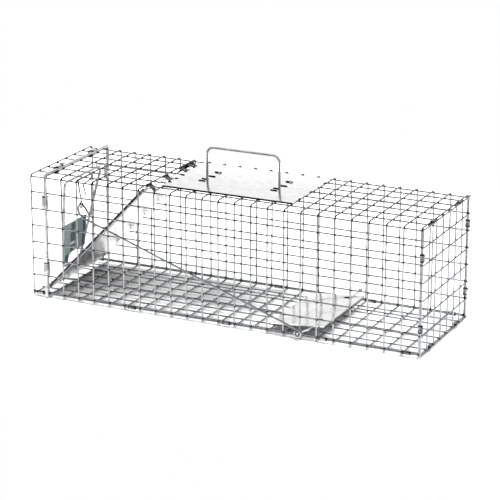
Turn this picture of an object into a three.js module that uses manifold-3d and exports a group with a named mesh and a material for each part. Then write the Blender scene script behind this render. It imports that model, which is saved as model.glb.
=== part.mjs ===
// A one-door live catch trap: a cage of welded wire mesh, a sloping sheet door hung from the roof,
// a wire lock frame that drops on the door, and a trigger pan that works a rod and a hook outside.
// Cage coordinates: x runs from the door end to the rear, y from the near side to the far side,
// z up from the lowest wire of the sides. The last group moves them to the part's own frame.
import * as THREE from 'three';
import { mergeVertices } from 'three/addons/utils/BufferGeometryUtils.js';
import Module from 'manifold-3d';

const wasm = await Module();
wasm.setup();

// Driving dimensions, in millimetres.
const CELL = 25.4;                       // mesh pitch
const CELLS = { long: 24, wide: 7, high: 7 };
const LENGTH = CELLS.long * CELL;
const WIDTH = CELLS.wide * CELL;
const HEIGHT = CELLS.high * CELL;
const WIRE = 2;                          // mesh wire diameter
const MESH = 2.6;                        // thickness of a welded panel, wire on wire
const GAP = 0.3;                         // space left between two pieces that touch
const SHEET = 0.8;                       // galvanised sheet of the clips
const PLATE = 1;                         // galvanised sheet of the door, the pan and the top plate

const RING = { wire: 4.2, x: 0.92 * CELL, bend: 4.5 };
const RING_CLIP = { hollow: 6.2, spare: 0.8, length: 18 };
const CLIP_PLACES = { floor: [0.45, 6.5, 12.5, 18.4, 23.3], rear: [1.5, 5.5], ring: [1.5, 5.5] };   // in cells
const DOOR = {
  slope: THREE.MathUtils.degToRad(46.5), // from the floor, door shut
  drop: 6.4,                             // from the hinge wire to the middle of the sheet
  length: 233,
  side: 9.5,                             // from the mesh to the edge of the door
  flange: 5.5,                           // the sides are turned up, away from the cage floor
  flangeTop: 14,                         // where the turned-up sides begin, from the hinge
  fingers: [1.3, 3.3, 5.3, 6.35],        // in cells
};
const FINGER = { half: 4.5, inner: 2.2, outer: 3.4, from: -60, to: 205, neck: 1.2 };
const FRAME = { wire: 4, x: 2.1 * CELL, z: HEIGHT - 6.9, foot: [46.2, 41.4], near: 5.2, farTop: 4.45 * CELL, farFoot: 2.15 * CELL, bend: 6 };
const ROD = { wire: 2.6, y: -4.6, yRear: -7.6, eye: 4.9 };
const PAN = { x: 17.6 * CELL, z: 10.5, ahead: 66, behind: 20, near: 4.5, far: 28, lips: [3, 4.5], tilt: THREE.MathUtils.degToRad(-4.9) };
const NUT = { bore: 1.8, radius: 4.5, rim: 1, high: 1.6, out: 4 };
const CRANK = { wire: 3, arm: [-15.2, -7], y: -4, pin: -9.6 };
const TOP = { x: [8.06 * CELL, 16.1 * CELL], y: [0.84 * CELL, 6.15 * CELL], z: HEIGHT + 3.8, lip: 2.5 };
const HANDLE = { wire: 4, x: [9.88 * CELL, 14.36 * CELL], y: 2.9 * CELL, foot: 4.4 * CELL, z: 231.5, bend: 10, under: 2.5, hole: 5.4 };
const REAR = LENGTH + WIRE / 2 + GAP + MESH / 2;   // middle of the rear panel
const FLOOR = -(WIRE / 2 + GAP + MESH / 2);        // middle of the floor panel

// Finishes.
const finish = (color, roughness, metalness) => new THREE.MeshStandardMaterial({ color, roughness, metalness });
const zincWire = finish(0xb9bcc0, 0.38, 1);
const zincRod = finish(0xc2c4c6, 0.32, 1);
const zincSheet = finish(0xd2d4d6, 0.42, 1);
const printedCard = finish(0x8f9b98, 0.6, 0);

const cage = new THREE.Group();

function piece(name, geometry, material) {
  const mesh = new THREE.Mesh(geometry, material);
  mesh.name = name;
  cage.add(mesh);
  return mesh;
}

// Booleans on closed solids.
function toManifold(geometry) {
  const bare = geometry.clone();
  bare.deleteAttribute('normal');
  bare.deleteAttribute('uv');
  const merged = mergeVertices(bare, 1e-4);
  const triVerts = merged.index ? Uint32Array.from(merged.index.array) : undefined;
  return new wasm.Manifold(new wasm.Mesh({ numProp: 3, vertProperties: merged.attributes.position.array, triVerts }));
}

function toGeometry(solid) {
  const mesh = solid.asOriginal().simplify(0.001).getMesh();
  const geometry = new THREE.BufferGeometry();
  geometry.setAttribute('position', new THREE.BufferAttribute(new Float32Array(mesh.vertProperties), 3));
  geometry.setIndex(new THREE.BufferAttribute(new Uint32Array(mesh.triVerts), 1));
  geometry.computeVertexNormals();
  return geometry;
}

const join = (first, ...rest) => toGeometry(rest.reduce((sum, next) => sum.add(toManifold(next)), toManifold(first)));
const cut = (first, ...rest) => toGeometry(rest.reduce((sum, next) => sum.subtract(toManifold(next)), toManifold(first)));

function box(low, high) {
  const size = high.map((value, axis) => value - low[axis]);
  return new THREE.BoxGeometry(...size).translate(...low.map((value, axis) => value + size[axis] / 2));
}

// A flat outline in (u, v), pushed out by depth.
function plate(outline, depth, holes = []) {
  const shape = new THREE.Shape(outline.map(([u, v]) => new THREE.Vector2(u, v)));
  shape.holes = holes.map((hole) => new THREE.Path(hole.map(([u, v]) => new THREE.Vector2(u, v))));
  return new THREE.ExtrudeGeometry(shape, { depth, bevelEnabled: false, steps: 1 });
}

// The same, with the outline in (x, z) and its depth along y, from low to high.
function plateAcross(outline, low, high) {
  return plate(outline, high - low).rotateX(Math.PI / 2).translate(0, high, 0);
}

// Wire forms: a route through given corners, each rounded, with one ring of vertices per point.
class Route extends THREE.Curve {
  constructor(points) {
    super();
    this.points = points;
  }
  getPoint(t, target = new THREE.Vector3()) {
    const place = t * (this.points.length - 1);
    const index = Math.min(Math.floor(place + 1e-9), this.points.length - 2);
    return target.lerpVectors(this.points[index], this.points[index + 1], place - index);
  }
  getPointAt(u, target) {
    return this.getPoint(u, target);
  }
  getTangentAt(u, target = new THREE.Vector3()) {
    const index = Math.round(u * (this.points.length - 1));
    const before = this.points[Math.max(index - 1, 0)];
    const here = this.points[index];
    const after = this.points[Math.min(index + 1, this.points.length - 1)];
    const into = here.clone().sub(before).normalize();
    return target.copy(after).sub(here).normalize().add(into).normalize();
  }
}

function rounded(corners, radius, steps = 3) {
  const points = corners.map((corner) => new THREE.Vector3(...corner));
  const route = [points[0]];
  for (let index = 1; index < points.length - 1; index += 1) {
    const [before, corner, after] = points.slice(index - 1, index + 2);
    const into = before.clone().sub(corner);
    const out = after.clone().sub(corner);
    const reach = Math.min(radius, into.length() * 0.45, out.length() * 0.45);
    const start = corner.clone().addScaledVector(into.normalize(), reach);
    const end = corner.clone().addScaledVector(out.normalize(), reach);
    route.push(...new THREE.QuadraticBezierCurve3(start, corner, end).getPoints(steps));
  }
  route.push(points.at(-1));
  return route;
}

function wire(route, diameter, sides = 8) {
  const turn = Math.PI / sides;
  const section = Array.from({ length: sides }, (_, index) => {
    const angle = turn + (index * 2 * Math.PI) / sides;
    return new THREE.Vector2((diameter / 2) * Math.cos(angle), (diameter / 2) * Math.sin(angle));
  });
  const extrudePath = new Route(route);
  return new THREE.ExtrudeGeometry(new THREE.Shape(section), { steps: route.length - 1, extrudePath, bevelEnabled: false });
}

// Points on an arc about the y axis, given in degrees from +x towards +z.
function arc([x, z], y, radius, from, to, steps) {
  return Array.from({ length: steps + 1 }, (_, index) => {
    const angle = THREE.MathUtils.degToRad(from + ((to - from) * index) / steps);
    return new THREE.Vector3(x + radius * Math.cos(angle), y, z + radius * Math.sin(angle));
  });
}

// Welded mesh: a flat grid of crossing bars, with the bar centres at the given lines.
function mesh(lines, across) {
  const bar = WIRE / 2;
  const deep = MESH / 2;
  const [u0, u1, v0, v1] = [lines[0] - bar, lines.at(-1) + bar, across[0] - bar, across.at(-1) + bar];
  return join(
    ...lines.map((u) => box([u - bar, v0, -deep], [u + bar, v1, deep])),
    ...across.map((v) => box([u0, v - bar, -deep], [u1, v + bar, deep])),
  );
}

const every = (cells) => Array.from({ length: cells + 1 }, (_, index) => index * CELL);
const along = every(CELLS.long);
const up = every(CELLS.high);
up[CELLS.high] = HEIGHT - MESH / 2 - GAP - WIRE / 2;
const wide = every(CELLS.wide);

for (const [name, y] of [['near_side_mesh', 0], ['far_side_mesh', WIDTH]]) {
  piece(name, mesh(along, up).rotateX(Math.PI / 2).translate(0, y, 0), zincWire);
}
piece('roof_mesh', mesh(along, wide).translate(0, 0, HEIGHT), zincWire);
piece('floor_mesh', mesh(along, wide).translate(0, 0, FLOOR), zincWire);
const rearUp = every(CELLS.high);
rearUp[0] = FLOOR - MESH / 2 + WIRE / 2;
piece('rear_mesh', mesh(rearUp, wide).rotateY(-Math.PI / 2).translate(REAR, 0, 0), zincWire);

// Sheet clips: a strip bent round two wires until its ends nearly meet.
// The hollow is a by b in (u, v), centred, and the slit faces +v.
function clip(a, b, length) {
  const [u, v, s] = [a / 2, b / 2, SHEET];
  const slit = 0.4;
  return plate([
    [-slit, v], [-u, v], [-u, -v], [u, -v], [u, v], [slit, v],
    [slit, v + s], [u + s, v + s], [u + s, -v - s], [-u - s, -v - s], [-u - s, v + s], [-slit, v + s],
  ], length).translate(0, 0, -length / 2);
}

const PAIR = { a: 3.4, b: 5.9, length: 11 };     // a clip round two mesh wires
const pairClip = () => clip(PAIR.b, PAIR.a, PAIR.length);
const clipZ = (WIRE / 2 + FLOOR - MESH / 2) / 2;

for (const [side, y, inward] of [['near', 0, 1], ['far', WIDTH, -1]]) {
  CLIP_PLACES.floor.forEach((place, index) => {
    const geometry = pairClip().rotateY(Math.PI / 2).rotateX(inward > 0 ? 0 : Math.PI);
    piece(`floor_clip_${side}_${index + 1}`, geometry.translate(place * CELL, y, clipZ), zincSheet);
  });
}

const clipX = (LENGTH - WIRE / 2 + REAR + MESH / 2) / 2;
CLIP_PLACES.rear.forEach((place, index) => {
  const number = index + 1;
  const across = () => pairClip().rotateX(Math.PI / 2);
  piece(`rear_clip_top_${number}`, across().translate(clipX, place * CELL, HEIGHT), zincSheet);
  piece(`rear_clip_bottom_${number}`, across().translate(clipX, place * CELL, FLOOR), zincSheet);
  for (const [side, y] of [['near', 0], ['far', WIDTH]]) {
    piece(`rear_clip_${side}_${number}`, pairClip().translate(clipX, y, (place - 0.1) * CELL), zincSheet);
  }
});

// Entrance ring: one rod bent round the outside of the cage, its ends meeting under the floor.
const BUTT = 0.5;                        // half the gap where a bent rod's ends meet
const ringOut = WIRE + GAP - 0.1 + RING.wire / 2;
const ringLow = FLOOR - MESH / 2 - GAP - RING.wire / 2;
const ringHigh = HEIGHT + ringOut;
piece('entrance_ring', wire(rounded([
  [RING.x, WIDTH / 2 - BUTT, ringLow],
  [RING.x, -ringOut, ringLow],
  [RING.x, -ringOut, ringHigh],
  [RING.x, WIDTH + ringOut, ringHigh],
  [RING.x, WIDTH + ringOut, ringLow],
  [RING.x, WIDTH / 2 + BUTT, ringLow],
], RING.bend), RING.wire), zincRod);

// Ring clips hold the ring to the first upright and to the first roof wire.
const ringSide = ringOut + RING.wire / 2;
const ringClip = () => clip(RING_CLIP.hollow, ringSide + MESH / 2 + RING_CLIP.spare, RING_CLIP.length);
const ringClipX = (RING.x - RING.wire / 2 + CELL + WIRE / 2) / 2;
const ringClipOut = (ringSide - MESH / 2) / 2;
const [clipOne, clipTwo] = CLIP_PLACES.ring;
for (const [name, place] of [['lower', clipOne], ['upper', clipTwo]]) {
  piece(`ring_clip_near_${name}`, ringClip().translate(ringClipX, -ringClipOut, place * CELL), zincSheet);
  piece(`ring_clip_far_${name}`, ringClip().rotateX(Math.PI)
    .translate(ringClipX, WIDTH + ringClipOut, place * CELL), zincSheet);
}
for (const [name, place] of [['near', clipOne], ['far', clipTwo]]) {
  piece(`ring_clip_roof_${name}`, ringClip().rotateX(-Math.PI / 2)
    .translate(ringClipX, place * CELL, HEIGHT + ringClipOut), zincSheet);
}

// Door: a sheet with turned-up sides, hung from the eighth roof wire by four curled fingers.
const HINGE = [7 * CELL, HEIGHT];
const down = [-Math.cos(DOOR.slope), -Math.sin(DOOR.slope)];
const off = [Math.sin(DOOR.slope), -Math.cos(DOOR.slope)];
const onDoor = (distance, depth) => [
  HINGE[0] + down[0] * distance + off[0] * depth,
  HINGE[1] + down[1] * distance + off[1] * depth,
];

function doorPart(distances, depths, low, high) {
  const [[d0, d1], [e0, e1]] = [distances, depths];
  return plateAcross([onDoor(d0, e0), onDoor(d1, e0), onDoor(d1, e1), onDoor(d0, e1)], low, high);
}

function doorFinger(y) {
  const { half, inner, outer, from, to } = FINGER;
  const points = [...arc(HINGE, 0, outer, from, to, 8), ...arc(HINGE, 0, inner, to, from, 8)];
  const curl = plateAcross(points.map(({ x, z }) => [x, z]), y - half, y + half);
  const neck = doorPart([-FINGER.neck, FINGER.neck], [inner + 0.5, DOOR.drop + PLATE / 2 - 0.1], y - half, y + half);
  return [curl, neck];
}

const doorFace = [DOOR.drop - PLATE / 2, DOOR.drop + PLATE / 2];
const flange = [DOOR.drop - DOOR.flange, DOOR.drop];
const doorNear = DOOR.side;
const doorFar = WIDTH - DOOR.side;
piece('door_panel', join(
  doorPart([-FINGER.neck, DOOR.length], doorFace, doorNear, doorFar),
  doorPart([DOOR.flangeTop, DOOR.length], flange, doorNear, doorNear + PLATE),
  doorPart([DOOR.flangeTop, DOOR.length], flange, doorFar - PLATE, doorFar),
  ...DOOR.fingers.flatMap((place) => doorFinger(place * CELL)),
), zincSheet);

// Lock frame: a rod bent into a leaning loop that hangs from the roof and stands on the door.
const [footX, footZ] = FRAME.foot;
const frameButt = (FRAME.near + FRAME.farFoot) / 2;
piece('lock_frame', wire(rounded([
  [footX, frameButt - BUTT, footZ],
  [footX, FRAME.near, footZ],
  [FRAME.x, FRAME.near, FRAME.z],
  [FRAME.x, FRAME.farTop, FRAME.z],
  [footX, FRAME.farFoot, footZ],
  [footX, frameButt + BUTT, footZ],
], FRAME.bend), FRAME.wire), zincRod);

// Instruction card: a printed card clipped to the near leg of the lock frame, notched at its foot.
const lean = Math.atan2(FRAME.x - footX, FRAME.z - footZ);
const CARD = { thick: 1, near: -1.2, far: 61, top: 64.5, right: 112.5, foot: 124.5, notch: 10.5, bend: 12 };
const cardShape = new THREE.Shape();
cardShape.moveTo(CARD.near, -CARD.top);
cardShape.lineTo(CARD.near, -CARD.foot);
cardShape.lineTo(CARD.notch - 2, -CARD.foot);
cardShape.lineTo(CARD.notch, -CARD.right - CARD.bend + 4);
cardShape.quadraticCurveTo(CARD.notch + 2, -CARD.right, CARD.notch + CARD.bend, -CARD.right);
cardShape.lineTo(CARD.far - 2.5, -CARD.right + 2);
cardShape.lineTo(CARD.far, -CARD.top + 1);
cardShape.closePath();
const card = new THREE.ExtrudeGeometry(cardShape, { depth: CARD.thick, bevelEnabled: false, curveSegments: 5 });
piece('instruction_card', card.rotateX(Math.PI / 2).rotateZ(Math.PI / 2)
  .translate(FRAME.wire / 2 + GAP, 0, 0).rotateY(lean)
  .translate(FRAME.x, FRAME.near, FRAME.z), printedCard);

// Two wires under the roof run forward from the hinge. The far one carries the lock frame,
// and the near one turns down beside the door as a stop for the hook.
const underRoof = HEIGHT - 3.2;
const LIGHT = 2;
const HANGER = { y: 4.1 * CELL, back: 3.5, ahead: 4 };
const hingeEnd = 6.7 * CELL;
piece('lock_frame_hanger', wire(rounded([
  [hingeEnd, HANGER.y, underRoof],
  [FRAME.x - HANGER.back, HANGER.y, underRoof],
  [FRAME.x - HANGER.back, HANGER.y, FRAME.z - HANGER.back],
  [FRAME.x + HANGER.ahead, HANGER.y, FRAME.z - HANGER.back],
], 1.6, 2), LIGHT), zincRod);
piece('roof_guide_wire', wire(rounded([
  [hingeEnd, 1.2 * CELL, underRoof],
  [3.25 * CELL, 1.2 * CELL, underRoof],
  [3.3 * CELL, 7, underRoof - 2.2],
  [3.5 * CELL, 6.6, HEIGHT - 22],
], 3, 2), LIGHT), zincRod);

// Top plate: a sheet over the middle of the roof, its long edges turned down, holed for the handle.
const [topLow, topHigh] = TOP.y;
const [topFront, topRear] = TOP.x;
const holeAt = (x) => new THREE.CylinderGeometry(HANDLE.hole / 2, HANDLE.hole / 2, 4 * TOP.lip, 8).rotateX(Math.PI / 2).translate(x, HANDLE.foot, TOP.z);
const topSheet = join(
  box([topFront, topLow, TOP.z], [topRear, topHigh, TOP.z + PLATE]),
  box([topFront, topLow, TOP.z + PLATE - TOP.lip], [topRear, topLow + PLATE, TOP.z + PLATE / 2]),
  box([topFront, topHigh - PLATE, TOP.z + PLATE - TOP.lip], [topRear, topHigh, TOP.z + PLATE / 2]),
);
piece('top_plate', cut(topSheet, ...HANDLE.x.map(holeAt)), zincSheet);

// Handle: a wire bail whose feet lie along the plate and turn down through it.
const footLevel = TOP.z + PLATE + GAP + HANDLE.wire / 2;
const [handleFront, handleRear] = HANDLE.x;
piece('handle', wire(rounded([
  [handleFront, HANDLE.foot, TOP.z - HANDLE.under],
  [handleFront, HANDLE.foot, footLevel],
  [handleFront, HANDLE.y, footLevel],
  [handleFront, HANDLE.y, HANDLE.z],
  [handleRear, HANDLE.y, HANDLE.z],
  [handleRear, HANDLE.y, footLevel],
  [handleRear, HANDLE.foot, footLevel],
  [handleRear, HANDLE.foot, TOP.z - HANDLE.under],
], HANDLE.bend), HANDLE.wire), zincRod);

// Trigger pan: a sheet with turned-down edges, tilted on the axle under it.
const [aheadLip, behindLip] = PAN.lips;
const panRise = CRANK.wire / 2 + GAP;
const panProfile = [
  [-PAN.ahead, panRise - aheadLip], [-PAN.ahead + PLATE, panRise - aheadLip], [-PAN.ahead + PLATE, panRise],
  [PAN.behind - PLATE, panRise], [PAN.behind - PLATE, panRise - behindLip], [PAN.behind, panRise - behindLip],
  [PAN.behind, panRise + PLATE], [-PAN.ahead, panRise + PLATE],
];
piece('trigger_pan', plateAcross(panProfile, PAN.near, WIDTH - PAN.far).rotateY(PAN.tilt)
  .translate(PAN.x, 0, PAN.z), zincSheet);

// Axle: a rod across the cage, cranked outside the near side, with a push nut at its far end.
const [armX, armZ] = CRANK.arm;
const axleFar = WIDTH - CRANK.pin;
piece('pan_axle', wire(rounded([
  [PAN.x, axleFar, PAN.z],
  [PAN.x, CRANK.y, PAN.z],
  [PAN.x + armX, CRANK.y, PAN.z + armZ],
  [PAN.x + armX, CRANK.pin, PAN.z + armZ],
], 2, 2), CRANK.wire), zincRod);
const nut = new THREE.LatheGeometry([
  [NUT.bore, 0], [NUT.radius, 0], [NUT.radius, NUT.rim], [NUT.bore, NUT.high], [NUT.bore, 0],
].map(([radius, height]) => new THREE.Vector2(radius, height)), 12);
piece('axle_push_nut', nut.translate(PAN.x, WIDTH + NUT.out, PAN.z), zincSheet);

// Trip rod: an eye round the crank pin, a straight run up the near side, and an open hook.
const pinAt = [PAN.x + armX, PAN.z + armZ];
const hookFoot = [3.56 * CELL, 4.9 * CELL];
const slopeOut = Math.atan2(hookFoot[1] - pinAt[1], pinAt[0] - hookFoot[0]);
const rise = THREE.MathUtils.radToDeg(slopeOut);
const eye = arc(pinAt, ROD.yRear, ROD.eye, 90 - rise - 290, 90 - rise, 12);
const frontRun = rounded([
  [hookFoot[0], ROD.y, hookFoot[1]],
  [3.25 * CELL, ROD.y, 5.12 * CELL],
  [3.21 * CELL, ROD.y, 5.5 * CELL],
  [3.33 * CELL, ROD.y, 5.75 * CELL],
  [3.55 * CELL, ROD.y, 5.62 * CELL],
  [3.75 * CELL, ROD.y, 5.38 * CELL],
  [3.93 * CELL, ROD.y, 5.08 * CELL],
], 5, 2);
piece('trip_rod', wire([...eye, ...frontRun], ROD.wire, 6), zincRod);

// Hook: a wire that turns on the roof, with an eye outside that holds the end of the trip rod.
const HOOK = { x: 81.8, z: HEIGHT + 3.3, wire: 2, inner: 34.2, tail: HEIGHT - 6, eye: [86.1, 144.9], radius: 4 };
const [eyeX, eyeZ] = HOOK.eye;
const loop = Array.from({ length: 9 }, (_, index) => {
  const angle = THREE.MathUtils.degToRad(60 + index * 37);
  return [eyeX, ROD.y + HOOK.radius * Math.cos(angle), eyeZ + HOOK.radius * Math.sin(angle)];
});
piece('door_hook', wire(rounded([
  [HOOK.x, HOOK.inner, HOOK.tail],
  [HOOK.x, HOOK.inner, HOOK.z],
  [HOOK.x, ROD.y - 0.4, HOOK.z],
  [eyeX - 0.6, ROD.y, eyeZ + 9],
  ...loop,
], 3, 1), HOOK.wire, 6), zincRod);

// The part's own frame: the middle of the base of the whole object, +X towards the rear.
const rearReach = clipX + PAIR.b / 2 + SHEET;
const ringFlat = (RING.wire / 2) * Math.cos(Math.PI / 8);
cage.position.set(-(rearReach - WIRE / 2) / 2, -WIDTH / 2, ringFlat - ringLow);

const trap = new THREE.Group();
trap.add(cage);
export default trap;
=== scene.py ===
import math

import bmesh
import bpy
from mathutils import Matrix, Quaternion, Vector


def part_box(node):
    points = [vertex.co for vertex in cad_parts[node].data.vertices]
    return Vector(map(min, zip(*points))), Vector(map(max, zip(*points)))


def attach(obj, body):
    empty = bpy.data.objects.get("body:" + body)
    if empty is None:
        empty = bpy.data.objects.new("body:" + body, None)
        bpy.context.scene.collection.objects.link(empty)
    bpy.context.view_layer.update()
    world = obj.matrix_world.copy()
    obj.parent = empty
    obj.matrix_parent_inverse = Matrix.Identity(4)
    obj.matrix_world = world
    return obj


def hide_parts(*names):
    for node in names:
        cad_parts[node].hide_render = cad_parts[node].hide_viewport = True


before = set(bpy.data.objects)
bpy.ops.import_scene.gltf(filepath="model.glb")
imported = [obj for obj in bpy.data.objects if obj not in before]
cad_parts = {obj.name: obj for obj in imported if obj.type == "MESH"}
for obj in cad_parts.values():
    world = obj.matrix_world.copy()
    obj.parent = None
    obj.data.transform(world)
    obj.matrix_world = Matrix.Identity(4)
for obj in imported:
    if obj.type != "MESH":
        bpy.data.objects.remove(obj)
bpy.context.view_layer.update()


# ---------------------------------------------------------------------------
# Studio. The trap stands on a pale bench top, 2.4 m by 1.24 m, under one large
# overhead light, with a bright wall behind it and a dim room in front of it.
# ---------------------------------------------------------------------------
def linear(code):
    """An sRGB hex colour as the linear RGBA that the shaders take."""
    channels = [int(code[place:place + 2], 16) / 255 for place in (1, 3, 5)]
    return [c / 12.92 if c <= 0.04045 else ((c + 0.055) / 1.055) ** 2.4 for c in channels] + [1.0]


def add(tree, kind, settings=(), inputs=()):
    """Adds a node. An input is a number, a colour or the socket that feeds it."""
    made = tree.nodes.new(kind)
    for name, value in dict(settings).items():
        setattr(made, name, value)
    for name, value in dict(inputs).items():
        if isinstance(value, bpy.types.NodeSocket):
            tree.links.new(value, made.inputs[name])
        else:
            made.inputs[name].default_value = value
    return made


def seen_from(azimuth, elevation):
    a, e = math.radians(azimuth), math.radians(elevation)
    return Vector((math.sin(a) * math.cos(e), -math.cos(a) * math.cos(e), math.sin(e)))


AIM = Vector((0.00473, 0, 0.08915))
TOWARDS_CAMERA = seen_from(25.634, 17.886)
camera_data = bpy.data.cameras.new("camera")
camera_data.sensor_width = 36
camera_data.lens = 150.6
camera_data.clip_end = 50
camera = bpy.data.objects.new("camera", camera_data)
camera.location = AIM + TOWARDS_CAMERA * 3.0273
level = (-TOWARDS_CAMERA).to_track_quat("-Z", "Y")
camera.rotation_mode = "QUATERNION"
camera.rotation_quaternion = level @ Quaternion((0, 0, 1), math.radians(0.102))
bpy.context.scene.collection.objects.link(camera)
bpy.context.scene.camera = camera
bpy.context.scene.view_settings.view_transform = "Standard"

world = bpy.data.worlds.new("studio")
world.use_nodes = True
bpy.context.scene.world = world
room = world.node_tree
room.nodes.clear()
way = add(room, "ShaderNodeTexCoord").outputs["Generated"]


def patch(direction, edge, core, strength):
    """A soft round patch of light in one direction, from full strength at its core to none at its edge."""
    towards = add(room, "ShaderNodeVectorMath", {"operation": "DOT_PRODUCT"}, {0: way, 1: direction})
    return add(room, "ShaderNodeMapRange", {"interpolation_type": "SMOOTHSTEP"}, {
        "Value": towards.outputs["Value"], "From Min": math.cos(math.radians(edge)),
        "From Max": math.cos(math.radians(core)), "To Min": 0.0, "To Max": strength}).outputs[0]


glow = 0.07
# In turn: the wall behind, the window at the left, the lamp over the roof, the floor behind the bench.
for direction, edge, core, strength in (
        (seen_from(205.6, 18), 44, 17, 1.03),
        (seen_from(-80, 15), 50, 20, 0.22),
        (seen_from(-20, 80), 34, 14, 0.55),
        (seen_from(180, -35), 60, 30, 0.35)):
    glow = add(room, "ShaderNodeMath", {"operation": "ADD"}, {
        0: glow, 1: patch(direction, edge, core, strength)}).outputs[0]
light = add(room, "ShaderNodeBackground", (), {"Color": (1, 1, 1, 1), "Strength": glow})
paper = add(room, "ShaderNodeBackground", (), {"Color": (1, 1, 1, 1), "Strength": 1.0})
ray = add(room, "ShaderNodeLightPath")
sky = add(room, "ShaderNodeMixShader", (), {0: ray.outputs["Is Camera Ray"], 1: light.outputs[0],
                                            2: paper.outputs[0]})
add(room, "ShaderNodeOutputWorld", (), {"Surface": sky.outputs[0]})

overhead = bpy.data.lights.new("overhead", "SUN")
overhead.energy = 8.2
overhead.angle = math.radians(55)
overhead_lamp = bpy.data.objects.new("overhead", overhead)
overhead_lamp.rotation_mode = "QUATERNION"
overhead_lamp.rotation_quaternion = seen_from(62, 68).to_track_quat("Z", "Y")
overhead_lamp.visible_glossy = False
bpy.context.scene.collection.objects.link(overhead_lamp)

bench = bmesh.new()
bmesh.ops.create_grid(bench, x_segments=1, y_segments=1, size=0.5,
                      matrix=Matrix.Translation((0, 0.12, 0)) @ Matrix.Diagonal((2.4, 1.24, 1, 1)))
bench_mesh = bpy.data.meshes.new("bench_top")
bench.to_mesh(bench_mesh)
bench.free()
bench_top = bpy.data.objects.new("bench_top", bench_mesh)
bpy.context.scene.collection.objects.link(bench_top)
pale_laminate = bpy.data.materials.new("pale_laminate")
pale_laminate.use_nodes = True
tree = pale_laminate.node_tree
shader = tree.nodes["Principled BSDF"]
mirrored = add(tree, "ShaderNodeLightPath").outputs["Is Glossy Ray"]
pale = add(tree, "ShaderNodeMix", {"data_type": "RGBA"}, {
    0: mirrored, 6: linear("#f2f2f2"), 7: linear("#e8e8e8")})
tree.links.new(pale.outputs[2], shader.inputs["Base Color"])
shader.inputs["Roughness"].default_value = 0.7
shader.inputs["Specular IOR Level"].default_value = 0.1
bench_mesh.materials.append(pale_laminate)

# ---------------------------------------------------------------------------
# Cage wrap. One sheet of 1 inch welded mesh of 2 mm steel wire, galvanised
# after welding, folded over the roof and down both sides. The hoops run
# outside, and the lengthwise wires are welded on inside them.
# ---------------------------------------------------------------------------
MM = 0.001
WIRE = 2.3               # over its coat of zinc
LONG, WIDE, HIGH = 24, 7, 7
side_low, side_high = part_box("near_side_mesh")
CELL = ((side_high.x - side_low.x) / MM - 2) / LONG
LENGTH, WIDTH, HEIGHT = CELL * LONG, CELL * WIDE, CELL * HIGH
SET = 0.9                # from the middle of the mesh to the middle of either layer of wire
FOLD = 4.6               # bend radius of the hoops at the edges of the roof
WELD = 1.55
STUB, STUB_DOOR = 1.0, 1.6   # how far cut wires stand past the last wire they cross
CORNER = Vector((side_low.x + MM, (side_low.y + side_high.y) / 2, side_low.z + MM))
TO_FRAME = Matrix.Translation(CORNER) @ Matrix.Scale(MM, 4)


def kept(geometry, kind):
    return [item for item in geometry if isinstance(item, kind)]


def pull(drawn, edges, travel):
    """Draws open edges out along a straight line and returns the far edges."""
    if travel.length < 1e-4:
        return edges
    grown = bmesh.ops.extrude_edge_only(drawn, edges=edges)["geom"]
    bmesh.ops.translate(drawn, verts=kept(grown, bmesh.types.BMVert), vec=travel)
    return [edge for edge in kept(grown, bmesh.types.BMEdge) if edge.is_boundary]


def turn(drawn, edges, centre, axis, angle, steps):
    """Draws open edges round an axis and returns the far edges."""
    verts = list({vert for edge in edges for vert in edge.verts})
    spun = bmesh.ops.spin(drawn, geom=verts + list(edges), cent=centre, axis=axis, angle=angle,
                          steps=steps, use_merge=False, use_duplicate=False)
    return kept(spun["geom_last"], bmesh.types.BMEdge)


def bent_rod(drawn, corners, diameter, sides=14, steps=7, chamfer=0.3):
    """A length of wire bent at its corners, each (x, y, z, bend radius). The ends have no radius."""
    points = [Vector(corner[:3]) for corner in corners]
    ways = [(after - before).normalized() for before, after in zip(points, points[1:])]
    section = Matrix.Translation(points[0]) @ ways[0].to_track_quat("Z", "Y").to_matrix().to_4x4()
    ring = bmesh.ops.create_circle(drawn, segments=sides, radius=diameter / 2, matrix=section)["verts"]
    first = edges = list({edge for vert in ring for edge in vert.link_edges})
    here = points[0]
    for corner, point, after, into, out in zip(corners[1:], points[1:], points[2:], ways, ways[1:]):
        half = math.tan(into.angle(out) / 2)
        reach = min(corner[3] * half, (point - here).length, (after - point).length * 0.6)
        stop = point - into * reach
        inward = (out - into * into.dot(out)).normalized()
        edges = pull(drawn, edges, stop - here)
        edges = turn(drawn, edges, stop + inward * (reach / half), into.cross(out).normalized(),
                     into.angle(out), steps)
        here = point + out * reach
    last = pull(drawn, edges, points[-1] - here)
    for end in (first, last):
        bmesh.ops.edgeloop_fill(drawn, edges=end)
    if chamfer:
        bmesh.ops.bevel(drawn, geom=first + last, offset=chamfer, segments=2, profile=0.5,
                        affect="EDGES", material=-1)


def repeat(drawn, times, step):
    """Copies everything drawn so far, time and again, by a step."""
    pattern = drawn.verts[:] + drawn.edges[:] + drawn.faces[:]
    for number in range(1, times):
        copy = bmesh.ops.duplicate(drawn, geom=pattern)["geom"]
        bmesh.ops.translate(drawn, verts=kept(copy, bmesh.types.BMVert), vec=Vector(step) * number)


def weld(drawn, x, y, z, squeeze):
    """The metal squeezed out between two wires, flattened along one axis."""
    flat = Matrix.Diagonal([0.55 if axis == squeeze else 1 for axis in range(3)] + [1])
    bmesh.ops.create_icosphere(drawn, subdivisions=1, radius=WELD,
                               matrix=Matrix.Translation((x, y, z)) @ flat)


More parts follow.
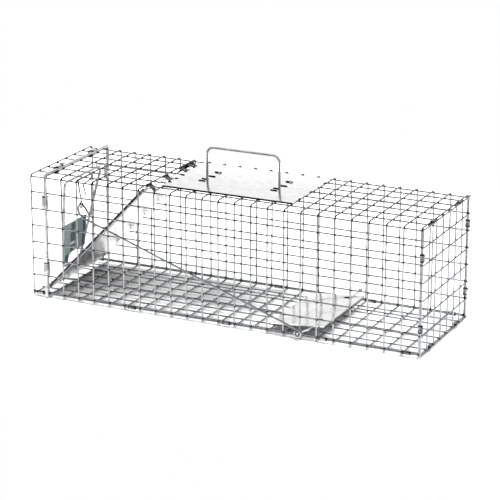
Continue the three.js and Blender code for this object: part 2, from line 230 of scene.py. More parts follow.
def piece(name, drawn, materials, body, slot, *replaced):
    """Puts a drawing, in millimetres from the cage's near bottom corner at the door, into the frame."""
    bmesh.ops.recalc_face_normals(drawn, faces=drawn.faces)
    mesh = bpy.data.meshes.new(name)
    drawn.to_mesh(mesh)
    drawn.free()
    mesh.transform(TO_FRAME)
    mesh.shade_smooth()
    mesh.set_sharp_from_angle(angle=math.radians(38))
    for material in materials:
        mesh.materials.append(material)
    made = bpy.data.objects.new(name, mesh)
    bpy.context.scene.collection.objects.link(made)
    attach(made, body)
    if replaced:
        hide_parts(*replaced)
    return made


def new_material(name):
    material = bpy.data.materials.new(name)
    material.use_nodes = True
    tree = material.node_tree
    return material, tree, tree.nodes["Principled BSDF"], add(tree, "ShaderNodeTexCoord").outputs["Object"]


def ramp(tree, factor, stops):
    """A colour ramp from hex colours, or from greys where a number is wanted."""
    made = add(tree, "ShaderNodeValToRGB", (), {"Fac": factor})
    elements = made.color_ramp.elements
    while len(elements) < len(stops):
        elements.new(0.5)
    for element, (place, colour) in zip(elements, stops):
        element.position = place
        element.color = linear(colour) if isinstance(colour, str) else (colour, colour, colour, 1)
    return made.outputs["Color"]


def galvanised_wire():
    """Hot-dip galvanised steel wire: dull mid-grey zinc with runs and pimples about 1.5 mm apart.
    The zinc round each spot weld is painted near black for 2 mm or so: painted shade in the crevice where the
    wires cross, with a little real weld burn."""
    material, tree, shader, place = new_material("galvanised_wire")
    runs = add(tree, "ShaderNodeTexNoise", (), {"Vector": place, "Scale": 1 / (6 * MM), "Detail": 4})
    zinc = ramp(tree, runs.outputs["Fac"], [(0.3, "#8d8f92"), (0.55, "#a9abae"), (0.75, "#c0c1c2")])
    lattice = add(tree, "ShaderNodeVectorMath", {"operation": "SUBTRACT"}, {0: place, 1: CORNER})
    cells = add(tree, "ShaderNodeVectorMath", {"operation": "SCALE"},
                {0: lattice.outputs[0], "Scale": 1 / (CELL * MM)})
    nearest = add(tree, "ShaderNodeVectorMath", {"operation": "ADD"}, {0: cells.outputs[0], 1: (0.5,) * 3})
    within = add(tree, "ShaderNodeVectorMath", {"operation": "FRACTION"}, {0: nearest.outputs[0]})
    offset = add(tree, "ShaderNodeVectorMath", {"operation": "SUBTRACT"},
                 {0: within.outputs[0], 1: (0.5,) * 3})
    away = add(tree, "ShaderNodeVectorMath", {"operation": "LENGTH"}, {0: offset.outputs[0]})
    # Painted shade: the zinc goes near black within 2.6 mm of each crossing, where the wires shade each
    # other.
    weld_shade = ramp(tree, away.outputs["Value"], [(1.9 / CELL, 1.0), (2.6 / CELL, 0.0)])
    colour = add(tree, "ShaderNodeMix", {"data_type": "RGBA"}, {0: weld_shade, 6: zinc, 7: linear("#1b1a1b")})
    pimples = add(tree, "ShaderNodeTexNoise", (), {"Vector": place, "Scale": 1 / (1.5 * MM), "Detail": 2})
    raised = add(tree, "ShaderNodeBump", (), {"Height": pimples.outputs["Fac"], "Strength": 0.25,
                                              "Distance": 0.15 * MM})
    rough = add(tree, "ShaderNodeMapRange", (), {"Value": runs.outputs["Fac"], "To Min": 0.26, "To Max": 0.5})
    tree.links.new(colour.outputs[2], shader.inputs["Base Color"])
    tree.links.new(raised.outputs[0], shader.inputs["Normal"])
    tree.links.new(rough.outputs[0], shader.inputs["Roughness"])
    shader.inputs["Metallic"].default_value = 1.0
    return material


zinc_wire = galvanised_wire()
hoop_top = HEIGHT + SET
fold_y, fold_z = FOLD - SET, hoop_top - FOLD
edge_angle = math.radians(28)


def up_the_fold(radius):
    return fold_y - radius * math.cos(edge_angle), fold_z + radius * math.sin(edge_angle)


wrap = bmesh.new()
bent_rod(wrap, [(0, -SET, -STUB), (0, -SET, hoop_top, FOLD), (0, WIDTH + SET, hoop_top, FOLD),
                (0, WIDTH + SET, -STUB)], WIRE, sides=10, steps=6, chamfer=0)
edge_y, edge_z = up_the_fold(FOLD - SET)
for y in (0, WIDTH):
    for k in range(HIGH):
        weld(wrap, 0, y, k * CELL, 1)
    weld(wrap, 0, abs(y - edge_y), edge_z, 1)
for j in range(1, WIDE):
    weld(wrap, 0, j * CELL, HEIGHT, 2)
repeat(wrap, LONG + 1, (CELL, 0, 0))


def lengthwise(drawn, y, z):
    bent_rod(drawn, [(-STUB_DOOR, y, z), (LENGTH + STUB, y, z)], WIRE, sides=10, chamfer=0)


edge_y, edge_z = up_the_fold(FOLD - 2 * SET)
for near, inside in ((0, SET), (WIDTH, -SET)):
    for k in range(HIGH):
        lengthwise(wrap, near + inside, k * CELL)
    lengthwise(wrap, abs(near - edge_y), edge_z)
for j in range(1, WIDE):
    lengthwise(wrap, j * CELL, HEIGHT - SET)
piece("cage_wrap", wrap, [zinc_wire], "cage", "galvanised_wire",
      "near_side_mesh", "far_side_mesh", "roof_mesh")

# ---------------------------------------------------------------------------
# Floor and rear panels. Two flat pieces of the same mesh, cut so that the
# ends of their cross wires stand a little proud of the edge wire.
# ---------------------------------------------------------------------------
FLOOR = -3.0
REAR = LENGTH + 3.1
PROUD = 2.2
floor = bmesh.new()
bent_rod(floor, [(0, -PROUD, FLOOR - SET), (0, WIDTH + PROUD, FLOOR - SET)], WIRE, sides=10, chamfer=0)
for j in range(WIDE + 1):
    weld(floor, 0, j * CELL, FLOOR, 2)
repeat(floor, LONG + 1, (CELL, 0, 0))
for j in range(WIDE + 1):
    lengthwise(floor, j * CELL, FLOOR + SET)
piece("floor_panel", floor, [zinc_wire], "cage", "galvanised_wire", "floor_mesh")

rear = bmesh.new()
bent_rod(rear, [(REAR - SET, 0, FLOOR - STUB), (REAR - SET, 0, HEIGHT + STUB)], WIRE, sides=10, chamfer=0)
rear_rows = [FLOOR] + [k * CELL for k in range(1, HIGH + 1)]
for z in rear_rows:
    weld(rear, REAR, 0, z, 0)
repeat(rear, WIDE + 1, (0, CELL, 0))
for z in rear_rows:
    bent_rod(rear, [(REAR + SET, -STUB, z), (REAR + SET, WIDTH + STUB, z)], WIRE, sides=10, chamfer=0)
piece("rear_panel", rear, [zinc_wire], "cage", "galvanised_wire", "rear_mesh")


# ---------------------------------------------------------------------------
# Clips. Short strips of 0.8 mm galvanised sheet, closed by pliers round two
# wires, so that each is a flattened sleeve with its slit on the inside.
# ---------------------------------------------------------------------------
def folded_sheet(drawn, outline, start, end, bend, segments=4):
    """Sheet folded to an outline in (y, z) and drawn out along x, its folds rounded."""
    verts = [drawn.verts.new((start, y, z)) for y, z in outline]
    edges = [drawn.edges.new(pair) for pair in zip(verts, verts[1:])]
    grown = bmesh.ops.extrude_edge_only(drawn, edges=edges)["geom"]
    bmesh.ops.translate(drawn, verts=kept(grown, bmesh.types.BMVert), vec=(end - start, 0, 0))
    faces = kept(grown, bmesh.types.BMFace)
    folds = list({edge for face in faces for edge in face.edges if len(edge.link_faces) == 2})
    bmesh.ops.bevel(drawn, geom=folds, offset=bend, segments=segments, profile=0.5,
                    affect="EDGES", material=-1)


def galvanised_sheet(name, dark, mid, pale, rough, wave=0.35, metal=1.0):
    """Hot-dip galvanised steel sheet: a bright skin broken into zinc crystals about 7 mm across,
    each a shade of its own, over rolling marks. It lies slightly out of flat."""
    material, tree, shader, place = new_material(name)
    crystals = add(tree, "ShaderNodeTexVoronoi", (), {"Vector": place, "Scale": 1 / (7 * MM)})
    shade = add(tree, "ShaderNodeSeparateColor", (), {0: crystals.outputs["Color"]}).outputs[0]
    stretch = add(tree, "ShaderNodeMapping", (), {"Vector": place, "Scale": (1, 14, 14)})
    rolled = add(tree, "ShaderNodeTexNoise", (), {
        "Vector": stretch.outputs[0], "Scale": 1 / (9 * MM), "Detail": 3})
    tone = add(tree, "ShaderNodeMix", (), {0: 0.35, 2: shade, 3: rolled.outputs["Fac"]})
    zinc = ramp(tree, tone.outputs[0], [(0.15, dark), (0.5, mid), (0.85, pale)])
    roughness = add(tree, "ShaderNodeMapRange", (), {
        "Value": tone.outputs[0], "To Min": rough - 0.05, "To Max": rough + 0.08})
    waves = add(tree, "ShaderNodeTexNoise", (), {"Vector": place, "Scale": 1 / (38 * MM), "Detail": 1})
    lie = add(tree, "ShaderNodeBump", (), {
        "Height": waves.outputs["Fac"], "Strength": 0.5, "Distance": wave * MM})
    skin = add(tree, "ShaderNodeBump", (), {"Height": rolled.outputs["Fac"], "Strength": 0.15,
                                            "Distance": 0.04 * MM, "Normal": lie.outputs[0]})
    tree.links.new(zinc, shader.inputs["Base Color"])
    tree.links.new(roughness.outputs[0], shader.inputs["Roughness"])
    tree.links.new(skin.outputs[0], shader.inputs["Normal"])
    shader.inputs["Metallic"].default_value = metal
    return material


CLIP_SHEET = 0.8
SLIT = 1.0
X, Y, Z = (1, 0, 0), (0, 1, 0), (0, 0, 1)
clip_zinc = galvanised_sheet("galvanised_clip_strip", "#47494c", "#7d7f82", "#bcbdbf", 0.32)
# The ends of a clip, painted near black: painted shade of the slit and the hollow inside the sleeve.
clip_end_shade = galvanised_sheet("clip_ends_painted_shade", "#151516", "#222224", "#38383a", 0.42)


def clip(name, along, across, longer=0.0, slim=1.0, shaded_end=1.8, strip=clip_zinc):
    """A sleeve as big as the one it replaces, lying along one axis with its slit towards another. It may
    be made longer or slimmer, and for a little way at each end it is painted near black, as painted shade of
    the hollow inside the sleeve."""
    low, high = ((corner - CORNER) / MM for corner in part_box(name))
    along, across = Vector(along), Vector(across)
    wide = across.cross(along)
    half_w, half_d, half_l = (abs(way.dot(high - low)) / 2 for way in (wide, across, along))
    half_l += longer / 2
    half_d *= slim
    drawn = bmesh.new()
    folded_sheet(drawn, [(-SLIT / 2, half_d), (-half_w, half_d), (-half_w, -half_d), (half_w, -half_d),
                         (half_w, half_d), (SLIT / 2, half_d)], -half_l, half_l, min(half_w, half_d) * 0.7)
    for x in (shaded_end - half_l, half_l - shaded_end):
        bmesh.ops.bisect_plane(drawn, geom=drawn.verts[:] + drawn.edges[:] + drawn.faces[:],
                               plane_co=(x, 0, 0), plane_no=X, dist=0.001)
    bmesh.ops.recalc_face_normals(drawn, faces=drawn.faces)
    bmesh.ops.solidify(drawn, geom=drawn.faces[:], thickness=CLIP_SHEET)
    # Painted shade: the faces near each end take the near-black material.
    for face in drawn.faces:
        if abs(face.calc_center_median().x) > half_l - shaded_end:
            face.material_index = 1
    for vert in drawn.verts:
        pinch = 1 - 0.12 * (abs(vert.co.x) / half_l) ** 3
        vert.co.y *= pinch
    axes = Matrix((along, wide, across)).transposed().to_4x4()
    bmesh.ops.transform(drawn, matrix=Matrix.Translation((low + high) / 2) @ axes, verts=drawn.verts)
    piece(name + "_sleeve", drawn, [strip, clip_end_shade], "cage", "galvanised_sheet", name)


for side in ("near", "far"):
    for number in range(1, 6):
        clip(f"floor_clip_{side}_{number}", X, Z, 1, 0.68)
for number in (1, 2):
    clip(f"rear_clip_top_{number}", Y, (0, 0, -1))
    clip(f"rear_clip_bottom_{number}", Y, Z)
    clip(f"rear_clip_near_{number}", Z, Y)
    clip(f"rear_clip_far_{number}", Z, (0, -1, 0))

# ---------------------------------------------------------------------------
# Entrance ring. A 4.2 mm bright zinc-plated steel rod bent square round the
# outside of the cage, its ends butted under the floor. Six longer clips tie
# it to the first hoop.
# ---------------------------------------------------------------------------
LEAN = 2.4               # the ring leans this far towards the rear at its top
ring_low, ring_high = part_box("entrance_ring")
RING = (ring_high.x - ring_low.x) / MM / math.cos(math.pi / 8)
ring_x = (ring_low.x + ring_high.x) / 2 / MM - CORNER.x / MM
ring_near = (ring_low.y - CORNER.y) / MM + RING / 2
ring_far = (ring_high.y - CORNER.y) / MM - RING / 2
ring_foot = (ring_low.z - CORNER.z) / MM + RING / 2
ring_top = (ring_high.z - CORNER.z) / MM - RING / 2


def plated_rod(name, dark, mid, pale, metal=1.0):
    """Zinc-plated and passivated steel rod: brighter and smoother than the mesh, with faint draw marks
    along it and dull patches where it has been handled."""
    material, tree, shader, place = new_material(name)
    patches = add(tree, "ShaderNodeTexNoise", (), {"Vector": place, "Scale": 1 / (14 * MM), "Detail": 5})
    zinc = ramp(tree, patches.outputs["Fac"], [(0.3, dark), (0.55, mid), (0.8, pale)])
    marks = add(tree, "ShaderNodeTexNoise", (), {"Vector": place, "Scale": 1 / (0.9 * MM), "Detail": 3})
    drawn_marks = add(tree, "ShaderNodeBump", (), {"Height": marks.outputs["Fac"], "Strength": 0.1,
                                                   "Distance": 0.05 * MM})
    rough = add(tree, "ShaderNodeMapRange", (), {
        "Value": patches.outputs["Fac"], "To Min": 0.2, "To Max": 0.38})
    tree.links.new(zinc, shader.inputs["Base Color"])
    tree.links.new(drawn_marks.outputs[0], shader.inputs["Normal"])
    tree.links.new(rough.outputs[0], shader.inputs["Roughness"])
    shader.inputs["Metallic"].default_value = metal
    return material


rod_zinc = plated_rod("zinc_plated_rod", "#a3a5a8", "#c3c5c7", "#d6d7d8", 0.6)
worn_zinc = plated_rod("zinc_plated_rod_worn", "#85878a", "#a3a5a7", "#bbbdbe")
RING_BEND = 5.5
ring = bmesh.new()
bent_rod(ring, [
    (ring_x, WIDTH / 2 - 0.4, ring_foot),
    (ring_x, ring_near, ring_foot, RING_BEND),
    (ring_x + LEAN, ring_near, ring_top, RING_BEND),
    (ring_x + LEAN, ring_far, ring_top, RING_BEND),
    (ring_x, ring_far, ring_foot, RING_BEND),
    (ring_x, WIDTH / 2 + 0.4, ring_foot)], RING, sides=20, steps=10)
piece("entrance_ring_rod", ring, [rod_zinc], "cage", "zinc_plated_rod", "entrance_ring")

ring_strip = galvanised_sheet("galvanised_ring_strip", "#808285", "#abadaf", "#d0d1d2", 0.34, metal=0.55)
for place in ("lower", "upper"):
    clip(f"ring_clip_near_{place}", Z, Y, 1, shaded_end=0.9, strip=ring_strip)
    clip(f"ring_clip_far_{place}", Z, (0, -1, 0), 1, shaded_end=0.9, strip=ring_strip)
for place in ("near", "far"):
    clip(f"ring_clip_roof_{place}", Y, (0, 0, -1), 1, shaded_end=4.5, strip=ring_strip)

# ---------------------------------------------------------------------------
# Wires under the roof. Two 2 mm wires run forward from the door hinge: the
# far one ends in a hook that the lock frame hangs in, and the near one turns
# down beside the door as a stop for the outside hook.
# ---------------------------------------------------------------------------
FRAME_WIRE = 4.0
frame_x, frame_z = 2.1 * CELL, HEIGHT - 6.9
UNDER_ROOF = HEIGHT - 3.2
LIGHT_WIRE = 2.0
CRADLE, CRADLE_BEND = 3.5, 2.6   # the hook under the crossbar: how far round it, and how tightly bent
wire_end = 6.7 * CELL
hanger_y, guide_y = 4.1 * CELL, 1.2 * CELL
hanger = bmesh.new()
bent_rod(hanger, [
    (wire_end, hanger_y, UNDER_ROOF),
    (frame_x - CRADLE, hanger_y, UNDER_ROOF, CRADLE_BEND),
    (frame_x - CRADLE, hanger_y, frame_z - CRADLE, CRADLE_BEND),
    (frame_x + 4, hanger_y, frame_z - CRADLE)], LIGHT_WIRE)
piece("lock_frame_hanger_wire", hanger, [rod_zinc], "cage", "zinc_plated_rod", "lock_frame_hanger")

guide = bmesh.new()
bent_rod(guide, [
    (wire_end, guide_y, UNDER_ROOF),
    (3.25 * CELL, guide_y, UNDER_ROOF, 5),
    (3.3 * CELL, 5.6, UNDER_ROOF - 2.2, 3),
    (3.5 * CELL, 5.4, HEIGHT - 22)], LIGHT_WIRE)
piece("roof_guide", guide, [worn_zinc], "cage", "zinc_plated_rod", "roof_guide_wire")

# ---------------------------------------------------------------------------
# Door. A sheet of 1 mm galvanised steel, its long sides turned up and hemmed,
# hung on the eighth hoop of the roof by four fingers curled round the wire.
# ---------------------------------------------------------------------------
HINGE = Vector((7 * CELL, 0, HEIGHT))
SLOPE = math.radians(46.5)
DOOR_SHEET = 1.0
DOOR_DROP = 6.4
DOOR_LENGTH = 233.0
door_near, door_far = 9.5, WIDTH - 9.5
TURNED_UP, FLANGE_FOLD = 5.5, 1.9
BEAD = 6.5               # a shallow step pressed along the sheet, this far from its folds
down = Vector((-math.cos(SLOPE), 0, -math.sin(SLOPE)))
under = Vector((math.sin(SLOPE), 0, -math.cos(SLOPE)))
door_axes = Matrix.Translation(HINGE) @ Matrix((down, Vector(Y), under)).transposed().to_4x4()

door_zinc = galvanised_sheet("galvanised_door_sheet", "#a4a6a8", "#bababa", "#cfcfcd", 0.16)
dull_zinc = galvanised_sheet("galvanised_fingers", "#a9abad", "#c0c1c2", "#d6d7d7", 0.3, metal=0.4)
# Near-black sheet for the outside of the turned-up side, the plate's near lip, the pan's lips and the
# staples: painted shade and dark painted reflection.
painted_shade_zinc = galvanised_sheet("galvanised_sheet_painted_shade", "#29292b", "#3a3a3d", "#505154", 0.32)
FINGER_ROWS, FINGER_HALF = (1.3, 3.3, 5.3, 6.35), 4.5
FINGER_REACH = 3.2       # the curled fingers lie within this distance of the hinge wire
door = bmesh.new()
edge_depth = DOOR_DROP - TURNED_UP
folded_sheet(door, [
    (door_near + 1.6, edge_depth + 0.4), (door_near, edge_depth), (door_near, DOOR_DROP),
    (door_near + BEAD, DOOR_DROP), (door_near + BEAD + 1, DOOR_DROP - 0.5),
    (door_far - BEAD - 1, DOOR_DROP - 0.5), (door_far - BEAD, DOOR_DROP),
    (door_far, DOOR_DROP), (door_far, edge_depth), (door_far - 1.6, edge_depth + 0.4)],
    -1.2, DOOR_LENGTH, FLANGE_FOLD)
for place in FINGER_ROWS:
    ends = [door.verts.new((-1.2, place * CELL + half, DOOR_DROP)) for half in (-FINGER_HALF, FINGER_HALF)]
    tab = [door.edges.new(ends)]
    tab = pull(door, tab, Vector((-0.6, 0, 0)))
    tab = turn(door, tab, (-1.8, 0, DOOR_DROP - 1), Y, math.pi / 2, 4)
    tab = pull(door, tab, Vector((0, 0, -(DOOR_DROP - 1))))
    turn(door, tab, (0, 0, 0), Y, math.radians(235), 14)
bmesh.ops.remove_doubles(door, verts=door.verts, dist=0.01)
bmesh.ops.recalc_face_normals(door, faces=door.faces)
bmesh.ops.solidify(door, geom=door.faces[:], thickness=DOOR_SHEET)
# The outside of the near turned-up side takes the near-black sheet: painted shade and dark painted
# reflection.
for face in door.faces:
    middle = face.calc_center_median()
    if middle.y < door_near + 0.1 and middle.z < DOOR_DROP - FLANGE_FOLD + 0.6:
        face.material_index = 1
    elif middle.x < -1.5 or (max(middle.x, middle.z) < FINGER_REACH and 12 < middle.y < WIDTH - 12):
        face.material_index = 2
bmesh.ops.transform(door, matrix=door_axes, verts=door.verts)
piece("door_sheet", door, [door_zinc, painted_shade_zinc, dull_zinc], "door", "galvanised_sheet", "door_panel")

# ---------------------------------------------------------------------------
# Lock frame. A 4 mm plated rod bent into a leaning loop. It hangs from the
# roof by its crossbar and its foot stands on the shut door, so that the door
# can't be lifted from inside.
# ---------------------------------------------------------------------------
foot_x, foot_z = 46.2, 41.4
leg_near = 5.2
top_far, foot_far = 4.45 * CELL, 2.15 * CELL
butt = (leg_near + foot_far) / 2
FRAME_BEND = 7.0
lock = bmesh.new()
bent_rod(lock, [
    (foot_x, butt - 0.4, foot_z),
    (foot_x, leg_near, foot_z, FRAME_BEND),
    (frame_x, leg_near, frame_z, FRAME_BEND),
    (frame_x, top_far, frame_z, FRAME_BEND),
    (foot_x, foot_far, foot_z, FRAME_BEND),
    (foot_x, butt + 0.4, foot_z)], FRAME_WIRE, sides=18, steps=8)
piece("lock_frame_rod", lock, [rod_zinc], "lock_frame", "zinc_plated_rod", "lock_frame")

# ---------------------------------------------------------------------------
# Instruction card. A 1 mm laminated card clipped to the near leg of the lock
# frame, printed with plain blocks in place of words and pictures, with one dark block of painted shade at its
# lower left corner.
# ---------------------------------------------------------------------------
CARD_THICK = 1.0
lean = math.atan2(frame_x - foot_x, frame_z - foot_z)
card_axes = (Matrix.Translation((frame_x, leg_near, frame_z)) @ Matrix.Rotation(lean, 4, "Y")
             @ Matrix.Translation((FRAME_WIRE / 2 + 0.3, 0, 0)))


def laminated_card(name, colour, grain):
    """Printed card under clear film: flat ink with a faint paper grain, and a soft gloss over it."""
    material, tree, shader, place = new_material(name)
    fibres = add(tree, "ShaderNodeTexNoise", (), {"Vector": place, "Scale": 1 / (grain * MM), "Detail": 5})
    ink = ramp(tree, fibres.outputs["Fac"], [(0.3, colour[0]), (0.7, colour[1])])
    buckle = add(tree, "ShaderNodeTexNoise", (), {"Vector": place, "Scale": 1 / (30 * MM), "Detail": 1})
    film = add(tree, "ShaderNodeBump", (), {"Height": buckle.outputs["Fac"], "Strength": 0.4,
                                            "Distance": 0.6 * MM})
    tree.links.new(ink, shader.inputs["Base Color"])
    tree.links.new(film.outputs[0], shader.inputs["Normal"])
    shader.inputs["Roughness"].default_value = 0.42
    shader.inputs["Coat Weight"].default_value = 0.6
    shader.inputs["Coat Roughness"].default_value = 0.18
    return material


card_inks = [
    laminated_card("card_grey_green", ("#7f8f8c", "#8f9e9a"), 6),
    laminated_card("card_dark_ink", ("#2f3c3e", "#3d4c4d"), 4),
    laminated_card("card_navy_ink", ("#141a26", "#1d2433"), 4),
    laminated_card("card_pale_ink", ("#bcc7c2", "#cfd8d3"), 5),
    laminated_card("card_slate_ink", ("#6c7a80", "#7c8990"), 5)]
# Printed blocks: (ink, from and to across the card, from and to down it). The last block, dark at the lower
# left corner, is painted shade, not print.
BLOCKS = [(4, 33, 51, 65, 109), (1, 17, 29, 66, 77), (1, 15, 30, 80, 95), (3, 15, 26, 95.5, 98.5),
          (1, 16, 30, 100, 103), (1, 15, 24, 104, 110), (2, 51, 60.4, 66, 88), (2, 49, 57.5, 89, 109.5),
          (1, 1, 9, 112, 123.5)]
card = bmesh.new()
outline = [(-1.2, -64.5), (-1.2, -124.5), (8.5, -124.5)]
outline += [(10.5 + 12 * (1 - math.cos(a)), -122 + 11 * math.sin(a))
            for a in (math.radians(step) for step in range(0, 91, 15))]
outline += [(58.5, -110.5), (61, -63.5)]
card.faces.new([card.verts.new((CARD_THICK, y, z)) for y, z in outline])
for _, left, right, top, foot in BLOCKS:
    for point, normal in (((0, left, 0), Y), ((0, right, 0), Y), ((0, 0, -top), Z), ((0, 0, -foot), Z)):
        bmesh.ops.bisect_plane(card, geom=card.verts[:] + card.edges[:] + card.faces[:],
                               plane_co=point, plane_no=normal, dist=0.001)
for face in card.faces:
    middle = face.calc_center_median()
    for ink, left, right, top, foot in BLOCKS:
        if left < middle.y < right and top < -middle.z < foot:
            face.material_index = ink
printed = card.faces[:]
body = bmesh.ops.extrude_face_region(card, geom=printed, use_keep_orig=True)["geom"]
bmesh.ops.translate(card, verts=kept(body, bmesh.types.BMVert), vec=(-CARD_THICK, 0, 0))
for face in kept(body, bmesh.types.BMFace):
    face.material_index = 0
bmesh.ops.transform(card, matrix=card_axes, verts=card.verts)
piece("instruction_card_print", card, card_inks, "lock_frame", "printed_card", "instruction_card")

# ---------------------------------------------------------------------------
# Top plate. A guard of bright galvanised sheet over the middle of the roof,
# its long edges turned down over the hoops. Staples tie it to the roof; they and the near lip are painted
# near black, as painted shade.
# ---------------------------------------------------------------------------
plate_low, plate_high = ((corner - CORNER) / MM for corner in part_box("top_plate"))
PLATE = 1.0
LIP = 2.4
STAPLE = 1.9
plate_zinc = galvanised_sheet("galvanised_top_sheet", "#dcddde", "#e6e6e7", "#efefef", 0.14, 0.12)


plate = bmesh.new()
plate_top = plate_high.z
folded_sheet(plate, [(plate_low.y, plate_top - LIP), (plate_low.y, plate_top), (plate_high.y, plate_top),
                     (plate_high.y, plate_top - LIP)], plate_low.x, plate_high.x, 1.3)
bmesh.ops.recalc_face_normals(plate, faces=plate.faces)
bmesh.ops.solidify(plate, geom=plate.faces[:], thickness=PLATE)
# The outside of the near lip takes the near-black sheet: painted shade.
for face in plate.faces:
    if face.calc_center_median().y < plate_low.y + 0.6:
        face.material_index = 1
sheet_faces = len(plate.faces)
for i in (9.88, 14.36):
    for j, back in ((2.6, 0.2), (3.0, 0.2), (3.66, 0.09), (4.54, 0.14)):
        x, y = (i - back) * CELL, j * CELL
        bent_rod(plate, [(x - 5.2, y, plate_top - 1.6), (x - 5.2, y, plate_top + 0.5, 1.1),
                         (x + 5.2, y, plate_top + 0.5, 1.1), (x + 5.2, y, plate_top - 1.6)],
                 STAPLE, sides=10, steps=4, chamfer=0)
for x, rows in ((plate_low.x, (1.6, 2.4, 3.2)), (plate_high.x, (1.7, 3.2, 5.15))):
    for j in rows:
        bent_rod(plate, [(x, j * CELL, plate_top - 1.6), (x, j * CELL, plate_top + 0.4, 1),
                         (x + 4.5, j * CELL + 1, plate_top + 0.4)], STAPLE, sides=10, steps=4, chamfer=0)
# The staples take the near-black sheet too: painted shade.
for face in plate.faces[:][sheet_faces:]:
    face.material_index = 1
piece("top_guard_sheet", plate, [plate_zinc, painted_shade_zinc], "cage", "galvanised_sheet", "top_plate")

# ---------------------------------------------------------------------------
# Handle. A bail of plated rod. Its feet go down through the plate, lie back
# under it, and turn up again.
# ---------------------------------------------------------------------------
handle_low, handle_high = ((corner - CORNER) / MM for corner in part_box("handle"))
HANDLE_WIRE = 3.2
left, right = handle_low.x + HANDLE_WIRE / 2, handle_high.x - HANDLE_WIRE / 2
foot_y = 4.4 * CELL
grip_y = 2.9 * CELL
grip_z = handle_high.z - HANDLE_WIRE / 2
under_plate = plate_low.z - 0.4
handle_zinc = plated_rod("zinc_plated_handle", "#8f9194", "#a4a6a8", "#b8b9bb", 0.45)
handle = bmesh.new()
bent_rod(handle, [
    (left, foot_y, plate_top + 1.2), (left, foot_y, under_plate, 2.2), (left, grip_y, under_plate, 4),
    (left, grip_y, grip_z, 10), (right, grip_y, grip_z, 10), (right, grip_y, under_plate, 4),
    (right, foot_y, under_plate, 2.2), (right, foot_y, plate_top + 1.2)], HANDLE_WIRE, sides=18, steps=8)
piece("handle_bail", handle, [handle_zinc], "cage", "zinc_plated_rod", "handle")

# ---------------------------------------------------------------------------
# Trigger pan. A galvanised sheet with its front and rear edges turned down,
# stitched by two staples to a 3 mm axle that lies across the cage.
# ---------------------------------------------------------------------------
pan_x, pan_z = 17.6 * CELL, 10.5
TILT = math.radians(-4.9)
AHEAD, BEHIND = 66.0, 20.0
AHEAD_LIP, BEHIND_LIP = 3.0, 3.6
pan_near, pan_far = 4.5, WIDTH - 28
PAN_LIFT = 2.75          # the top of the sheet over the middle of the axle
pan_zinc = galvanised_sheet("galvanised_pan_sheet", "#e2e3e3", "#ebebeb", "#f2f2f1", 0.15, 0.1)
pan = bmesh.new()
folded_sheet(pan, [(-AHEAD, PAN_LIFT - AHEAD_LIP), (-AHEAD, PAN_LIFT), (BEHIND, PAN_LIFT),
                   (BEHIND, PAN_LIFT - BEHIND_LIP)], pan_near, pan_far, 1.2)
bmesh.ops.recalc_face_normals(pan, faces=pan.faces)
bmesh.ops.solidify(pan, geom=pan.faces[:], thickness=1.0)
sheet_faces = len(pan.faces)
for y in (1.3 * CELL, 5.4 * CELL):
    bent_rod(pan, [(y, -5.5, PAN_LIFT - 0.8), (y, -5.5, PAN_LIFT + 0.5, 1), (y, 5.5, PAN_LIFT + 0.5, 1),
                   (y, 5.5, PAN_LIFT - 0.8)], STAPLE, sides=10, steps=4, chamfer=0)
# The lower parts of the lips and the staples take the near-black sheet: painted shade.
for number, face in enumerate(pan.faces):
    if number >= sheet_faces or face.calc_center_median().z < PAN_LIFT - 1.3:
        face.material_index = 1
# The section was drawn across the pan, in (y, z): a quarter turn lays it along the cage.
lay = Matrix((Vector((0, 1, 0)), Vector((1, 0, 0)), Vector((0, 0, 1)))).transposed().to_4x4()
pan_axes = Matrix.Translation((pan_x, 0, pan_z)) @ Matrix.Rotation(TILT, 4, "Y")
bmesh.ops.transform(pan, matrix=pan_axes @ lay, verts=pan.verts)
piece("trigger_pan_sheet", pan, [pan_zinc, painted_shade_zinc], "pan", "galvanised_sheet", "trigger_pan")

AXLE = 3.0
ARM = (-15.2, -7.0)
CRANK_Y, PIN_Y = -4.0, -9.6
axle = bmesh.new()
bent_rod(axle, [
    (pan_x, WIDTH - PIN_Y, pan_z),
    (pan_x, CRANK_Y, pan_z, 2.6),
    (pan_x + ARM[0], CRANK_Y, pan_z + ARM[1], 2.6),
    (pan_x + ARM[0], PIN_Y, pan_z + ARM[1])], AXLE, sides=16)
piece("pan_axle_rod", axle, [rod_zinc], "pan", "zinc_plated_rod", "pan_axle")

nut = bmesh.new()
profile = [nut.verts.new(corner) for corner in ((1.75, 0, 0), (3.3, 0, 0), (3.3, 0.5, 0), (2.3, 1.4, 0),
                                                (1.75, 1.7, 0))]
rim = [nut.edges.new(pair) for pair in zip(profile, profile[1:] + profile[:1])]
bmesh.ops.spin(nut, geom=profile + rim, cent=(0, 0, 0), axis=Y, angle=math.tau, steps=36, use_merge=True)
bmesh.ops.translate(nut, verts=nut.verts, vec=(pan_x, WIDTH + 4, pan_z))
piece("axle_push_nut_cap", nut, [dull_zinc], "pan", "galvanised_sheet", "axle_push_nut")

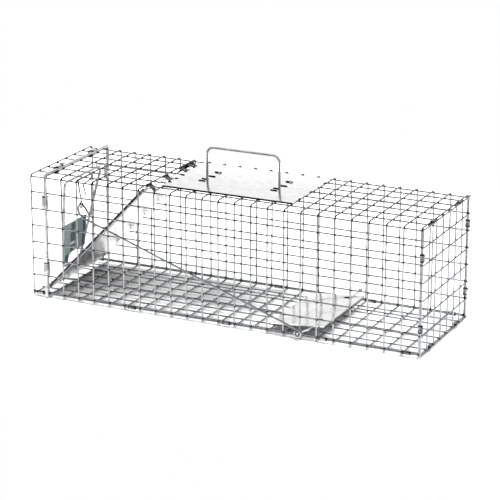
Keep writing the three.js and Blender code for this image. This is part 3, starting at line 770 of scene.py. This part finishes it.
# ---------------------------------------------------------------------------
# Trip rod and door hook. A 2.9 mm rod with an eye round the crank pin runs up
# the near side to a cane-shaped end. That end works the eye of a wire hook,
# which turns on the roof and holds the door up when the trap is set.
# ---------------------------------------------------------------------------
ROD = 2.9
rod_y, rod_y_rear = -4.6, -7.6
EYE = 4.9
pin = (pan_x + ARM[0], pan_z + ARM[1])
cane = (3.56 * CELL, 4.9 * CELL)
rise = math.atan2(cane[1] - pin[1], pin[0] - cane[0])


def loop(centre, radius, start, end, place):
    """Corners of a wire loop. place(u, v) gives the point at u, v in the loop's own plane."""
    count = math.ceil(abs(end - start) / 45)
    step = math.radians(end - start) / count
    corners = [place(centre[0] + radius * math.cos(math.radians(start)),
                     centre[1] + radius * math.sin(math.radians(start)))]
    for number in range(count):
        angle = math.radians(start) + step * (number + 0.5)
        out = radius / math.cos(step / 2)
        corner = place(centre[0] + out * math.cos(angle), centre[1] + out * math.sin(angle))
        corners.append(corner + (radius,))
    return corners


level_end = 90 - math.degrees(rise)
rod = bmesh.new()
bent_rod(rod, loop(pin, EYE, level_end - 290, level_end, lambda u, v: (u, rod_y_rear, v)) + [
    (cane[0], rod_y, cane[1], 9),
    (3.23 * CELL, rod_y, 5.14 * CELL, 6),
    (3.19 * CELL, rod_y, 5.55 * CELL, 5),
    (3.38 * CELL, rod_y, 5.82 * CELL, 4),
    (3.68 * CELL, rod_y, 5.50 * CELL, 9),
    (3.93 * CELL, rod_y, 5.08 * CELL)], ROD, sides=14, steps=6)
piece("trip_rod_wire", rod, [worn_zinc], "trip_rod", "zinc_plated_rod", "trip_rod")

HOOK = 2.3
hook_x, hook_z = 81.8, HEIGHT + 3.3
hook_y = 34.2
eye_x, eye_z = 86.1, 144.9
hook = bmesh.new()
bent_rod(hook, [
    (hook_x, hook_y, HEIGHT - 6),
    (hook_x, hook_y, hook_z, 2.5),
    (hook_x, rod_y - 0.4, hook_z, 2.5),
    (eye_x - 0.6, rod_y, eye_z + 9, 3)]
    + [corner if len(corner) == 4 else corner + (2,)
       for corner in loop((rod_y, eye_z), 4, 60, 356, lambda u, v: (eye_x, u, v))]
    + [(eye_x, rod_y + 4.2, eye_z + 2)], HOOK, sides=12, steps=4)
piece("door_hook_wire", hook, [worn_zinc], "door_hook", "zinc_plated_rod", "door_hook")
